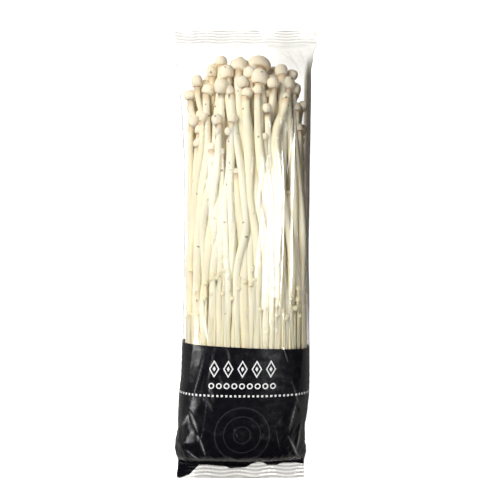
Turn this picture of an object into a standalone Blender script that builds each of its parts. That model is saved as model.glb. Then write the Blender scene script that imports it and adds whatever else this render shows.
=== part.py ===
"""Enoki mushroom bunch in its printed film bag, lying on its back.

The bunch is one grown body: long thin stems with small round caps, which rise from a felted root block that was cut
flat. The bag is one piece of clear film, printed black on its lower third and sealed flat along its two ends.

Frame: +Y runs from the roots to the caps, +X to the right and +Z up, away from the surface that the bag lies on.
The origin is on that surface, below the middle of the bag. Sizes are in millimetres, and MM turns them to metres.
Stations are distances along the bag, from the lower edge of its bottom seal.
"""

import math

import bmesh
import bpy
import numpy as np
from mathutils import Vector

MM = 0.001

# Driving sizes of the bag
BAG_LENGTH = 190.0
FILM = 0.6
SEAL_THICKNESS = 1.2
BOTTOM_SEAL_TOP = 6.5
TOP_SEAL_START = 184.0
PRINT_TOP = 57.5
POINTS_ROUND_BAG = 36

# Each section of the bag: station, reach to the left, reach to the right, lowest height, highest height
BAG_SECTIONS = [
    (0.0, 29.2, 24.8, 9.4, 10.6),
    (BOTTOM_SEAL_TOP, 29.4, 25.0, 9.4, 10.6),
    (7.6, 29.3, 25.1, 6.5, 15.5),
    (9.6, 29.0, 25.4, 1.5, 29.0),
    (12.5, 28.7, 25.7, -0.8, 35.0),
    (20.0, 28.4, 26.0, -1.4, 37.2),
    (38.0, 27.6, 26.4, -1.4, 38.0),
    (PRINT_TOP, 26.6, 26.6, -1.4, 38.2),
    (85.0, 26.0, 26.5, -1.4, 38.2),
    (110.0, 25.9, 26.5, -1.4, 38.0),
    (135.0, 26.2, 26.7, -1.4, 37.4),
    (152.0, 27.0, 27.2, -1.2, 36.4),
    (166.0, 28.2, 27.4, 0.2, 34.0),
    (175.0, 29.4, 27.8, 3.0, 29.5),
    (180.0, 30.2, 28.6, 7.5, 23.5),
    (TOP_SEAL_START, 30.6, 30.6, 13.4, 14.6),
    (BAG_LENGTH, 30.6, 30.6, 12.4, 13.6),
]
BODY_ROUNDNESS = 2.5
SEAL_ROUNDNESS = 7.0

# The punched air hole on the back of the bag, near the caps
AIR_HOLE_RADIUS = 2.5
AIR_HOLE_STATION = 171.0
AIR_HOLE_SIDES = 10
PUNCH_LENGTH = 12.0

# Driving sizes of the bunch
ROOT_CUT = 13.4
ROOT_BLOCK_TOP = 27.0
STEM_START = 17.0
AXIS_HEIGHT = 18.6
CORE_SHARE = 0.8
CORE_TOP = 126.0
POINTS_ROUND_CORE = 20
STEM_RADIUS = 1.65
CAP_RADIUS = 2.6
FILM_GAP = 0.4
SIX_SIDED = 1
SEED = 7

# The core: station, and share of the envelope. The felted block swells past the stems,
# and the core rounds off on top.
CORE_PROFILE = [
    (ROOT_CUT, 1.0),
    (ROOT_CUT + 2.0, 1.06),
    (ROOT_BLOCK_TOP, 1.0),
    (ROOT_BLOCK_TOP + 8.0, CORE_SHARE),
    (CORE_TOP - 22.0, CORE_SHARE),
    (CORE_TOP - 6.0, 0.72 * CORE_SHARE),
    (CORE_TOP, 0.4 * CORE_SHARE),
]

# A mushroom's cap: its height as a share of its radius, and the tube's radius as it rises (share of height, share of
# radius). The stem turns to where the cap stands over the last part of its length.
CAP_HEIGHT = 1.15
CAP_PROFILE = [(0.06, 0.9), (0.42, 1.0), (0.8, 0.72), (1.0, 0.3)]
TURN_LENGTH = 48.0
TURN_STEPS = 4

# Envelope of the stems' centre lines: station, half width, half height
ENVELOPE = [
    (0.0, 22.4, 15.2),
    (60.0, 22.6, 15.8),
    (110.0, 22.0, 15.6),
    (150.0, 21.4, 14.2),
    (166.0, 20.6, 11.8),
    (180.0, 19.0, 7.0),
]

# The mushrooms that stand out on the front: across, station of the cap's top, cap radius, stem radius,
# and how far to the side the stem stands lower down
FRONT_MUSHROOMS = [
    (5.3, 175.5, 4.6, 2.0, 2.0),
    (-3.3, 175.0, 3.7, 1.9, 3.0),
    (-9.8, 176.0, 2.7, 1.6, -1.5),
    (-8.2, 170.5, 3.4, 1.8, 5.5),
    (5.1, 168.8, 3.6, 1.9, 3.5),
    (4.6, 162.0, 2.2, 1.7, 1.5),
    (-0.6, 166.3, 2.5, 1.9, 4.5),
    (-0.2, 161.3, 2.4, 2.0, 5.0),
    (-9.8, 164.0, 3.4, 1.9, -1.0),
    (-16.5, 162.5, 2.9, 1.7, -1.5),
    (-5.9, 161.4, 2.1, 1.6, 4.5),
    (14.4, 172.5, 3.0, 1.8, -2.0),
    (18.4, 170.0, 2.4, 1.5, -1.0),
    (17.2, 165.5, 3.2, 1.8, 1.0),
    (17.6, 158.5, 2.4, 2.0, -7.5),
    (9.2, 153.6, 2.3, 1.6, 1.5),
    (8.3, 142.0, 1.9, 1.4, 1.0),
    (-10.7, 149.8, 2.8, 1.7, -0.5),
    (-5.5, 149.8, 2.0, 1.5, 0.5),
    (-6.6, 143.6, 1.9, 1.4, 1.0),
    (-18.2, 149.0, 2.2, 1.5, -1.0),
    (-14.1, 138.2, 2.0, 1.6, -1.0),
    (-4.2, 129.6, 1.9, 2.1, 5.0),
    (-14.6, 124.8, 1.9, 1.7, 2.5),
    (3.2, 120.2, 1.7, 1.4, 0.5),
]

# A front mushroom that reaches higher than this stands further in, and leaves the core part of the way up. The caps
# of the front mushrooms draw in towards the top, from one station to another, down to this share of the envelope.
FRONT_FROM_ROOTS = 170.0
FRONT_INNER_SHARE = 0.84
FRONT_INNER_START = 100.0
FRONT_DRAWS_IN = (150.0, 176.0)
FRONT_TOP_SHARE = 0.58
MIDDLE_STATION = 100.0

# The rim: stems all round the core. Some are young, so they are shorter and thinner, with small caps.
RIM_STEMS = 36
RIM_CLEAR_OF_FRONT = 1.5
FRONT_HALF = 0.15
YOUNG_SHARE = 0.3
YOUNG_TOPS = (84.0, 117.0)
GROWN_TOPS = (122.0, 156.0)
YOUNG_STEM = 0.75
GROWN_STEM = (0.9, 1.15)
YOUNG_CAP_RADIUS = 1.5
GROWN_CAP = (0.75, 1.1)
RIM_LEAN = 0.06

# Rings of stems inside the bunch: how many, share of the envelope, station where they leave the core, cap station
INNER_RINGS = [
    (16, 0.74, 112.0, 162.0),
    (10, 0.44, 112.0, 171.0),
    (3, 0.12, 114.0, 176.0),
]
RING_STATION = 140.0
RING_FOOT_SHARE = 0.68
RING_LEAN = 0.15
RING_TOP_SPREAD = 3.0
RING_CAP = (0.8, 1.4)
CROWDED_FRONT = 0.3
CROWDED_SHARE = 0.7

# Edges that turn by more than this are left sharp
SHARP_ANGLE = math.radians(50)

# Finish: base colour, roughness, alpha
MUSHROOM_FLESH = ((0.90, 0.84, 0.68), 0.55, 1.0)
CLEAR_FILM = ((0.94, 0.95, 0.94), 0.12, 0.25)
BLACK_PRINT = ((0.012, 0.012, 0.016), 0.25, 1.0)


def clear_scene():
    """Removes what the file opened with."""
    for found in list(bpy.data.objects):
        bpy.data.objects.remove(found)


def material(name, finish):
    """A Principled material with the given colour, roughness and alpha."""
    colour, roughness, alpha = finish
    made = bpy.data.materials.new(name)
    made.use_nodes = True
    shader = made.node_tree.nodes["Principled BSDF"]
    shader.inputs["Base Color"].default_value = (*colour, 1.0)
    shader.inputs["Roughness"].default_value = roughness
    shader.inputs["Metallic"].default_value = 0.0
    shader.inputs["Alpha"].default_value = alpha
    made.diffuse_color = (*colour, alpha)
    return made


def along(station):
    """The row frame's Y, in millimetres, of a station along the bag."""
    return station - BAG_LENGTH / 2


def from_table(table, station):
    """The table's columns after the first, read at a station on straight lines between its rows."""
    rows = np.array(table)
    return [float(np.interp(station, rows[:, 0], rows[:, k])) for k in range(1, rows.shape[1])]


def smooth_step(value):
    """0 below 0, 1 above 1, and an even S curve between."""
    held = min(1.0, max(0.0, value))
    return held * held * (3.0 - 2.0 * held)


def mesh_object(name, mesh, collection):
    """A new object for a mesh, in a collection."""
    made = bpy.data.objects.new(name, mesh)
    collection.objects.link(made)
    return made


def bag_ring(station, inset):
    """Points round the bag at a station, an inset inside its outer face.

    The section is a superellipse, |x/a|^n + |z/b|^n = 1, whose belly is cut flat where it meets the surface.
    """
    left, right, low, high = from_table(BAG_SECTIONS, station)
    middle, half_wide = (right - left) / 2, (right + left) / 2 - inset
    centre, half_high = (high + low) / 2, (high - low) / 2 - inset
    at_seal = high - low < 2 * SEAL_THICKNESS
    power = 2.0 / (SEAL_ROUNDNESS if at_seal else BODY_ROUNDNESS)
    points = []
    for k in range(POINTS_ROUND_BAG):
        angle = 2 * math.pi * k / POINTS_ROUND_BAG
        across, up = math.cos(angle), math.sin(angle)
        x = middle + half_wide * math.copysign(abs(across) ** power, across)
        z = centre + half_high * math.copysign(abs(up) ** power, up)
        points.append(Vector((x, along(station), max(z, inset))) * MM)
    return points


def loft(name, rings, collection):
    """A closed solid through a list of rings with the same number of points, with flat ends."""
    shape = bmesh.new()
    loops = [[shape.verts.new(point) for point in ring] for ring in rings]
    count = len(loops[0])
    for lower, upper in zip(loops, loops[1:]):
        for k in range(count):
            after = (k + 1) % count
            shape.faces.new((lower[k], lower[after], upper[after], upper[k]))
    shape.faces.new(list(reversed(loops[0])))
    shape.faces.new(loops[-1])
    bmesh.ops.recalc_face_normals(shape, faces=shape.faces)
    mesh = bpy.data.meshes.new(name)
    shape.to_mesh(mesh)
    shape.free()
    return mesh_object(name, mesh, collection)


def boolean(target, operation, **operand):
    """Adds a Boolean modifier, with either an object or a collection as its other side."""
    cut = target.modifiers.new(operation.lower(), "BOOLEAN")
    cut.operation = operation
    cut.solver = "EXACT"
    if "collection" in operand:
        cut.operand_type = "COLLECTION"
        cut.collection = operand["collection"]
    else:
        cut.object = operand["object"]
    return cut


def helper(obj):
    """Marks an object as a cutter or guide, which is not a piece."""
    obj.hide_render = True
    obj.display_type = "WIRE"
    return obj


def build_bag(parts, cutters):
    """The film bag: its outer form less the room inside, with an air hole punched through the back."""
    stations = [row[0] for row in BAG_SECTIONS]
    bag = loft("bag", [bag_ring(s, 0.0) for s in stations], parts)
    inside = [s for s in stations if BOTTOM_SEAL_TOP < s < TOP_SEAL_START]
    room = loft("bag_room", [bag_ring(s, FILM) for s in inside], cutters)
    boolean(bag, "DIFFERENCE", object=helper(room))

    shape = bmesh.new()
    bmesh.ops.create_cone(
        shape,
        cap_ends=True,
        segments=AIR_HOLE_SIDES,
        radius1=AIR_HOLE_RADIUS * MM,
        radius2=AIR_HOLE_RADIUS * MM,
        depth=PUNCH_LENGTH * MM,
    )
    mesh = bpy.data.meshes.new("air_hole")
    shape.to_mesh(mesh)
    shape.free()
    punch = mesh_object("air_hole", mesh, cutters)
    low = from_table(BAG_SECTIONS, AIR_HOLE_STATION)[2]
    punch.location = Vector((0.0, along(AIR_HOLE_STATION), low)) * MM
    boolean(bag, "DIFFERENCE", object=helper(punch))

    bag.data.materials.append(material("clear_film", CLEAR_FILM))
    bag.data.materials.append(material("black_print", BLACK_PRINT))
    for face in bag.data.polygons:
        if BOTTOM_SEAL_TOP < face.center.y / MM + BAG_LENGTH / 2 < PRINT_TOP:
            face.material_index = 1
    bag.data.shade_smooth()
    bag.data.set_sharp_from_angle(angle=SHARP_ANGLE)
    return bag


def envelope_point(share, angle, station):
    """The place (x, z) of a stem's centre line: a share of the envelope, at an angle round its axis."""
    half_wide, half_high = from_table(ENVELOPE, station)
    return np.array([share * half_wide * math.cos(angle), AXIS_HEIGHT + share * half_high * math.sin(angle)])


def front_angle(share, across, station):
    """The angle on the front half of the envelope at which a stem stands this far across."""
    half_wide = from_table(ENVELOPE, station)[0]
    return math.acos(max(-0.97, min(0.97, across / (share * half_wide))))


def room_in_bag(station, radius):
    """Middle, half width, centre and half height of the room that a centre line has at a station, when what stands
    round it has this radius. Over the length of a cap the narrowest station counts."""
    clear = FILM + FILM_GAP + radius
    found = [from_table(BAG_SECTIONS, s) for s in (station - radius, station, station + radius)]
    left, right = min(row[0] for row in found) - clear, min(row[1] for row in found) - clear
    floor = max(max(row[2] for row in found), 0.0) + clear
    ceiling = min(row[3] for row in found) - clear
    return (right - left) / 2, (right + left) / 2, (ceiling + floor) / 2, max((ceiling - floor) / 2, 0.1)


def kept_in_bag(place, station, radius):
    """The place (x, z) moved towards the bag's axis until a cap or stem of that radius clears the film."""
    middle, half_wide, centre, half_high = room_in_bag(station, radius)
    x, z = (place[0] - middle) / half_wide, (place[1] - centre) / half_high
    reach = (abs(x) ** BODY_ROUNDNESS + abs(z) ** BODY_ROUNDNESS) ** (1 / BODY_ROUNDNESS)
    scale = 1.0 / max(1.0, reach)
    return np.array([middle + x * half_wide * scale, centre + z * half_high * scale])


def mushroom(name, foot, tip, start, top, stem_radius, cap_radius, collection):
    """One mushroom as a round tube whose radius swells into the cap.

    foot and tip are (share, angle) places on the envelope: the stem keeps to the first, and turns to the second
    over its last TURN_LENGTH, where the cap sits straight on it.
    """
    neck = top - CAP_HEIGHT * cap_radius
    turn = max(start, neck - TURN_LENGTH)
    stations = [start, turn] if turn > start else [start]
    stations += list(np.linspace(turn, neck, TURN_STEPS + 1)[1:])
    radii = [stem_radius] * len(stations)
    stations += [neck + (top - neck) * rise for rise, _ in CAP_PROFILE]
    radii += [cap_radius * swell for _, swell in CAP_PROFILE]
    seat = kept_in_bag(envelope_point(*tip, top), neck + cap_radius / 2, cap_radius)

    curve = bpy.data.curves.new(name, "CURVE")
    curve.dimensions = "3D"
    curve.bevel_depth = MM
    curve.bevel_resolution = SIX_SIDED
    curve.use_fill_caps = True
    spline = curve.splines.new("POLY")
    spline.points.add(len(stations) - 1)
    for point, station, radius in zip(spline.points, stations, radii):
        turned = smooth_step((station - turn) / (neck - turn))
        standing = kept_in_bag(envelope_point(*foot, station), station, stem_radius)
        x, z = (1 - turned) * standing + turned * seat
        point.co = (x * MM, along(station) * MM, z * MM, 1.0)
        point.radius = radius
    return mesh_object(name, curve, collection)


def as_mesh(obj, collection):
    """A curve object made a closed mesh object in another collection, in the same place."""
    graph = bpy.context.evaluated_depsgraph_get()
    mesh = bpy.data.meshes.new_from_object(obj.evaluated_get(graph))
    shape = bmesh.new()
    shape.from_mesh(mesh)
    bmesh.ops.remove_doubles(shape, verts=shape.verts, dist=0.00001)
    bmesh.ops.recalc_face_normals(shape, faces=shape.faces)
    shape.to_mesh(mesh)
    shape.free()
    made = mesh_object(obj.name + "_mesh", mesh, collection)
    made.matrix_world = obj.matrix_world
    bpy.data.objects.remove(obj)
    return made


def root_core(collection):
    """The felted root block and the packed middle of the bunch, which the outer stems stand out of."""
    rings = []
    for station, share in CORE_PROFILE:
        ring = []
        for k in range(POINTS_ROUND_CORE):
            x, z = envelope_point(share, 2 * math.pi * k / POINTS_ROUND_CORE, station)
            ring.append(Vector((x, along(station), z)) * MM)
        rings.append(ring)
    return loft("mushroom_bunch", rings, collection)


def ring_angles(count, share, station):
    """Angles that space this many stems evenly along the rim of the envelope."""
    half_wide, half_high = from_table(ENVELOPE, station)
    fine = np.linspace(0, 2 * math.pi, 721)
    steps = np.hypot(np.diff(share * half_wide * np.cos(fine)), np.diff(share * half_high * np.sin(fine)))
    walked = np.concatenate([[0.0], np.cumsum(steps)])
    return np.interp(np.arange(count) / count * walked[-1], walked, fine)


def front_share(station):
    """How far out a front mushroom's cap stands: on the rim low down, and further in towards the top."""
    first, last = FRONT_DRAWS_IN
    return 1.0 - (1.0 - FRONT_TOP_SHARE) * smooth_step((station - first) / (last - first))


def between(limits, part):
    """The value that lies this part of the way from the lower to the higher limit."""
    return limits[0] + (limits[1] - limits[0]) * part


def fill_pockets(mesh):
    """Fills the pockets that stems close in between them: drops every shell of the mesh but the outer one."""
    shape = bmesh.new()
    shape.from_mesh(mesh)
    left_over = set(shape.verts)
    shells = []
    while left_over:
        found = [left_over.pop()]
        shell = set(found)
        while found:
            for edge in found.pop().link_edges:
                for vert in edge.verts:
                    if vert not in shell:
                        shell.add(vert)
                        found.append(vert)
        left_over -= shell
        shells.append(shell)
    outer = max(shells, key=len)
    spare = [vert for shell in shells if shell is not outer for vert in shell]
    bmesh.ops.delete(shape, geom=spare, context="VERTS")
    shape.to_mesh(mesh)
    shape.free()


def front_mushrooms(loose):
    """The mushrooms that stand out on the front, and how far across each of their stems stands lower down."""
    curves, feet = [], []
    for number, (across, top, cap_radius, stem_radius, foot_shift) in enumerate(FRONT_MUSHROOMS):
        share = front_share(top)
        tip = (share, front_angle(share, across, top))
        from_roots = top < FRONT_FROM_ROOTS
        foot_share = 1.0 if from_roots else FRONT_INNER_SHARE
        foot = (foot_share, front_angle(foot_share, across + foot_shift, MIDDLE_STATION))
        start = STEM_START if from_roots else FRONT_INNER_START
        curves.append(mushroom(f"front_{number}", foot, tip, start, top, stem_radius, cap_radius, loose))
        feet.append(across + foot_shift)
    return curves, feet


def rim_mushrooms(draw, front_feet, loose):
    """The stems all round the core, but for those whose place on the front is taken."""
    curves = []
    for number, angle in enumerate(ring_angles(RIM_STEMS, 1.0, MIDDLE_STATION)):
        height, thickness, swell, lean = draw.uniform(0, 1, 4)
        across = envelope_point(1.0, angle, MIDDLE_STATION)[0]
        nearest = min(abs(across - foot) for foot in front_feet)
        if math.sin(angle) > FRONT_HALF and nearest < RIM_CLEAR_OF_FRONT:
            continue
        if height < YOUNG_SHARE:
            top = between(YOUNG_TOPS, height / YOUNG_SHARE)
            stem_radius = STEM_RADIUS * YOUNG_STEM
            cap_radius = YOUNG_CAP_RADIUS
        else:
            top = between(GROWN_TOPS, (height - YOUNG_SHARE) / (1 - YOUNG_SHARE))
            stem_radius = STEM_RADIUS * between(GROWN_STEM, thickness)
            cap_radius = CAP_RADIUS * between(GROWN_CAP, swell)
        tip = (1.0, angle + RIM_LEAN * (2 * lean - 1))
        curves.append(mushroom(f"rim_{number}", (1.0, angle), tip, STEM_START, top, stem_radius, cap_radius, loose))
    return curves


def ring_mushrooms(draw, loose):
    """The rings of mushrooms that rise out of the core, behind those on the front."""
    curves = []
    for ring, (count, share, start, top) in enumerate(INNER_RINGS):
        for number, angle in enumerate(ring_angles(count, share, RING_STATION)):
            height, swell, turn = draw.uniform(0, 1, 3)
            if math.sin(angle) > CROWDED_FRONT and share > CROWDED_SHARE:
                continue
            tip = (share, angle + RING_LEAN * (2 * turn - 1))
            foot = (min(share, RING_FOOT_SHARE), angle)
            cap_top = top + RING_TOP_SPREAD * (2 * height - 1)
            cap_radius = CAP_RADIUS * between(RING_CAP, swell)
            name = f"inner_{ring}_{number}"
            curves.append(mushroom(name, foot, tip, start, cap_top, STEM_RADIUS, cap_radius, loose))
    return curves


def build_bunch(parts, loose):
    """The bunch: a core with the front mushrooms, a rim of stems and three inner rings, joined in one body."""
    draw = np.random.RandomState(SEED)
    core = root_core(parts)
    curves, front_feet = front_mushrooms(loose)
    curves += rim_mushrooms(draw, front_feet, loose)
    curves += ring_mushrooms(draw, loose)

    bpy.context.view_layer.update()
    joined = bpy.data.collections.new("stems_to_join")
    bpy.context.scene.collection.children.link(joined)
    for curve in curves:
        as_mesh(curve, joined)
    union = boolean(core, "UNION", collection=joined)
    union.solver = "MANIFOLD"
    bpy.context.view_layer.update()
    graph = bpy.context.evaluated_depsgraph_get()
    whole = bpy.data.meshes.new_from_object(core.evaluated_get(graph))
    fill_pockets(whole)
    core.modifiers.clear()
    core.data = whole
    for stem in list(joined.objects):
        bpy.data.objects.remove(stem)
    bpy.data.collections.remove(joined)
    core.data.materials.clear()
    core.data.materials.append(material("mushroom_flesh", MUSHROOM_FLESH))
    core.data.shade_smooth()
    core.data.set_sharp_from_angle(angle=SHARP_ANGLE)
    return core


def main():
    clear_scene()
    parts = bpy.data.collections.new("enoki_bunch_in_bag")
    cutters = bpy.data.collections.new("cutters")
    loose = bpy.data.collections.new("stem_curves")
    for made in (parts, cutters, loose):
        bpy.context.scene.collection.children.link(made)
    build_bunch(parts, loose)
    build_bag(parts, cutters)
    bpy.data.collections.remove(loose)


main()
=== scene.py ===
"""Enoki mushroom bunch in its printed film bag: its fine shapes, its finish, the table, the light and the
camera.

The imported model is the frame: metres, +Z up, +Y from the roots to the caps, and the origin on the table
below the middle of the bag. Sizes here are in millimetres, and MM turns them to metres. Stations are
distances along the bag, from the lower edge of its bottom seal.
"""

import math

import bpy
import numpy as np
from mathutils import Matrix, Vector


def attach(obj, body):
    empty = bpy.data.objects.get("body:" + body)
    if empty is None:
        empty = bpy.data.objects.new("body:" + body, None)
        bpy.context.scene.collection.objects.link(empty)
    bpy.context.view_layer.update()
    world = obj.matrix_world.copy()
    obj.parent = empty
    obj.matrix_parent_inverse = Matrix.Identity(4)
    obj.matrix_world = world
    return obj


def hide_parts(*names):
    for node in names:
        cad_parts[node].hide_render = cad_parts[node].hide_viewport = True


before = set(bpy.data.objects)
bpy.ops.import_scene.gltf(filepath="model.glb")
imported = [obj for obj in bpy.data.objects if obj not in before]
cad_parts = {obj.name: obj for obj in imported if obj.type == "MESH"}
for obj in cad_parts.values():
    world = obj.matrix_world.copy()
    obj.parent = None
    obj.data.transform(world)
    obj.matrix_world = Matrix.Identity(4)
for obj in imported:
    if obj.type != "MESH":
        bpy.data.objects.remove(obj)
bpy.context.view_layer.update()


# Camera. The photograph looks straight down on the pack. Its frame covers 210 mm at the height of the bunch's
# middle, and its centre lies a little to the right of the bag's middle and above it.
MM = 0.001
FRAME_WIDTH = 210.0
CAMERA_RISE = 380.0
BUNCH_MIDDLE = 19.0
FRAME_CENTRE = (1.7, 1.6)
SENSOR_WIDTH = 36.0

camera_lens = bpy.data.cameras.new("camera")
camera_lens.sensor_width = SENSOR_WIDTH
camera_lens.lens = SENSOR_WIDTH * CAMERA_RISE / FRAME_WIDTH
camera_lens.clip_start = 0.01
camera = bpy.data.objects.new("camera", camera_lens)
camera.location = Vector((*FRAME_CENTRE, BUNCH_MIDDLE + CAMERA_RISE)) * MM
bpy.context.scene.collection.objects.link(camera)
bpy.context.scene.camera = camera


# The bag's form. It is a tube of thin film that the bunch fills out: a flattened round that lies on its
# belly, drawn in to a flat sealed fin at each end. Both the film and the room that the mushrooms have are
# worked out from it.
BAG_LENGTH = 190.0
BOTTOM_SEAL_TOP = 6.5
TOP_SEAL_START = 184.0
BODY_ROUNDNESS = 2.5
# Station, reach to the left, reach to the right, lowest height, highest height
BAG_SECTIONS = np.array([
    (0.0, 29.2, 24.8, 9.4, 10.6),
    (BOTTOM_SEAL_TOP, 29.4, 25.0, 9.4, 10.6),
    (7.6, 29.3, 25.1, 6.5, 15.5),
    (9.6, 29.0, 25.4, 1.5, 29.0),
    (12.5, 28.7, 25.7, -0.8, 35.0),
    (20.0, 28.4, 26.0, -1.4, 37.2),
    (38.0, 27.6, 26.4, -1.4, 38.0),
    (57.5, 26.6, 26.6, -1.4, 38.2),
    (85.0, 26.0, 26.5, -1.4, 38.2),
    (110.0, 25.9, 26.5, -1.4, 38.0),
    (135.0, 26.2, 26.7, -1.4, 37.4),
    (152.0, 27.0, 27.2, -1.2, 36.4),
    (166.0, 28.2, 27.4, 0.2, 34.0),
    (175.0, 29.4, 27.8, 3.0, 29.5),
    (180.0, 30.2, 28.6, 7.5, 23.5),
    (TOP_SEAL_START, 30.6, 30.6, 13.4, 14.6),
    (BAG_LENGTH, 30.6, 30.6, 12.4, 13.6),
])
FINE_STEP = 0.25
EASED_OVER = 1.0
SIDE_LIMIT = 0.97
fine_stations = np.arange(0.0, BAG_LENGTH + FINE_STEP, FINE_STEP)


def along(station):
    """Y of a station, in millimetres."""
    return station - BAG_LENGTH / 2


def smooth_step(value):
    """0 below 0, 1 above 1, and an even S curve between."""
    held = np.clip(value, 0.0, 1.0)
    return held * held * (3.0 - 2.0 * held)


def eased_column(column):
    """A column of the sections on the fine stations: straight lines whose corners a bell curve rounds."""
    straight = np.interp(fine_stations, BAG_SECTIONS[:, 0], BAG_SECTIONS[:, column])
    half = int(3 * EASED_OVER / FINE_STEP)
    bell = np.exp(-0.5 * (np.arange(-half, half + 1) * FINE_STEP / EASED_OVER) ** 2)
    return np.convolve(np.pad(straight, half, mode="edge"), bell / bell.sum(), mode="valid")


eased_sections = [eased_column(column) for column in (1, 2, 3, 4)]


def bag_form(station):
    """Reach to the left and right, and lowest and highest height, of the bag at an array of stations."""
    return [np.interp(station, fine_stations, column) for column in eased_sections]


def kept_in_bag(x, z, station, radius, clearance):
    """Places moved up or down, and at the sides inwards, until a round of that radius clears the film.

    The room is the same superellipse as the bag's section, |x/a|^n + |z/b|^n = 1, less radius and
    clearance. Over the length of a cap the narrowest of three stations counts.
    """
    forms = np.array([bag_form(station + shift * radius) for shift in (-1.0, 0.0, 1.0)])
    spare = radius + clearance
    left = forms[:, 0].min(axis=0) - spare
    right = forms[:, 1].min(axis=0) - spare
    floor = np.maximum(forms[:, 2].max(axis=0), 0.0) + spare
    ceiling = forms[:, 3].min(axis=0) - spare
    middle, half_wide = (right - left) / 2, (right + left) / 2
    centre, half_high = (ceiling + floor) / 2, np.maximum((ceiling - floor) / 2, 0.3)
    across = np.clip((x - middle) / half_wide, -SIDE_LIMIT, SIDE_LIMIT)
    limit = (1.0 - np.abs(across) ** BODY_ROUNDNESS) ** (1 / BODY_ROUNDNESS)
    up = np.clip((z - centre) / half_high, -limit, limit)
    return middle + across * half_wide, centre + up * half_high


# How the mushrooms stand. They grow side by side out of one felted root block. The ones on the front stand
# as the photograph shows them, and the rest fill rings round a packed core. Then all of them are pressed
# apart until they lie against each other, as stems in a tight bag do.
AXIS_HEIGHT = 18.6
STEM_START = 15.0
STEM_RADIUS = 1.5
CAP_RADIUS = 2.6
CORE_SHARE = 0.66
CORE_TOP = 122.0
FILM_CLEARANCE = 1.0
FOOT_CLEARANCE = 1.4
TURN_LENGTH = 48.0
LEAN_LENGTH = 20.0
LEANING = 6.2
MIDDLE_STATION = 100.0
# Envelope of the stems' centre lines: station, half width, half height
ENVELOPE = np.array([
    (0.0, 23.0, 15.6),
    (60.0, 23.2, 16.0),
    (110.0, 22.8, 15.8),
    (150.0, 22.8, 14.6),
    (166.0, 22.6, 12.2),
    (180.0, 21.0, 8.0),
])
# Across, station of the cap's top, cap radius, cap height, stem radius, and how far to the side the stem
# stands lower down
FRONT_MUSHROOMS = [
    (5.5, 177.2, 4.8, 6.0, 1.9, 2.0),
    (-3.0, 176.6, 3.45, 6.8, 1.8, 3.0),
    (-9.8, 176.6, 2.6, 4.4, 1.6, -1.5),
    (14.5, 173.4, 2.6, 4.8, 1.8, -2.0),
    (18.6, 172.0, 2.2, 4.0, 1.5, 0.5),
    (-7.2, 172.6, 3.1, 5.7, 1.8, 5.5),
    (5.1, 170.8, 3.5, 6.6, 1.8, 2.5),
    (17.0, 168.5, 2.95, 5.6, 1.7, 2.5),
    (-0.5, 167.8, 2.5, 4.8, 1.8, 5.5),
    (-10.0, 166.7, 3.15, 5.9, 1.8, -1.0),
    (-16.2, 165.2, 2.8, 4.8, 1.7, -1.5),
    (-5.8, 163.9, 1.95, 4.0, 1.6, 3.5),
    (4.7, 163.8, 2.1, 3.9, 1.7, 1.5),
    (-0.1, 162.7, 2.3, 3.8, 1.9, 5.0),
    (16.8, 161.6, 2.0, 3.0, 2.0, -7.5),
    (8.8, 156.2, 1.9, 3.6, 1.6, 1.5),
    (-17.8, 153.2, 2.0, 4.0, 1.6, -1.0),
    (-10.9, 152.1, 2.4, 4.6, 1.7, -0.5),
    (-5.7, 151.8, 1.95, 3.9, 1.5, 0.5),
    (-6.5, 146.4, 1.8, 3.4, 1.4, 1.0),
    (-11.5, 146.2, 1.55, 3.2, 1.3, 0.5),
    (7.8, 144.0, 1.7, 2.9, 1.4, 1.0),
    (-19.2, 142.6, 2.5, 4.0, 1.5, -0.6),
    (-13.9, 140.4, 1.9, 3.4, 1.6, -1.0),
    (-9.8, 137.8, 1.3, 2.4, 1.3, 1.0),
    (-12.3, 134.6, 2.0, 2.6, 2.0, 6.4),
    (-4.2, 129.6, 2.2, 2.8, 2.4, 2.6),
    (-14.8, 125.6, 1.9, 2.6, 1.8, 0.5),
    (3.0, 121.8, 1.3, 2.2, 1.2, 0.5),
    (17.2, 121.2, 0.9, 1.5, 1.1, 0.4),
    (-3.9, 113.4, 1.1, 1.7, 1.3, 0.5),
    (22.2, 113.8, 0.9, 1.4, 1.0, 0.0),
    (21.4, 166.4, 2.7, 4.9, 1.5, 0.0),
    (22.8, 158.2, 2.4, 4.2, 1.4, 0.0),
    (22.4, 149.4, 2.2, 3.8, 1.4, 0.0),
]
# How freely front mushrooms are pushed aside, and the share of their radius that is kept clear of the film
FRONT_HOLD = 0.4
FRONT_ROOM = 0.86
# Lowest and highest cap tops behind the front mushrooms
BEHIND_LOWEST = 162.0
BEHIND_HIGHEST = 170.0
# Rings of mushrooms: how many, share of the envelope at the foot and at the cap, lowest and highest cap
# top, and stations where they begin
RINGS = [
    (46, 0.98, 1.00, 134.0, 164.0, STEM_START),
    (36, 0.84, 0.88, 150.0, 171.0, STEM_START),
    (26, 0.60, 0.72, 160.0, 174.0, 96.0),
    (19, 0.50, 0.54, 166.0, 176.0, 98.0),
    (12, 0.34, 0.34, 170.0, 177.0, 100.0),
    (5, 0.14, 0.15, 173.0, 178.0, 102.0),
]
# Pressing: rounds, share of the overlap given back, longest step, share evened out, and shares held at tip
# and foot
ROUNDS = 90
PUSH_SHARE = 0.3
LONGEST_PUSH = 1.5
EVENED_SHARE = 0.2
TIP_HELD = 0.25
FOOT_HELD = 0.2
TOUCHING_SHARE = 0.97
LAYOUT_STEP = 4.0
layout_stations = np.arange(12.0, 184.0, LAYOUT_STEP)
draw = np.random.RandomState(11)


def envelope_halves(station):
    """Half width and half height of the envelope at stations."""
    return [np.interp(station, ENVELOPE[:, 0], ENVELOPE[:, column]) for column in (1, 2)]


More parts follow.
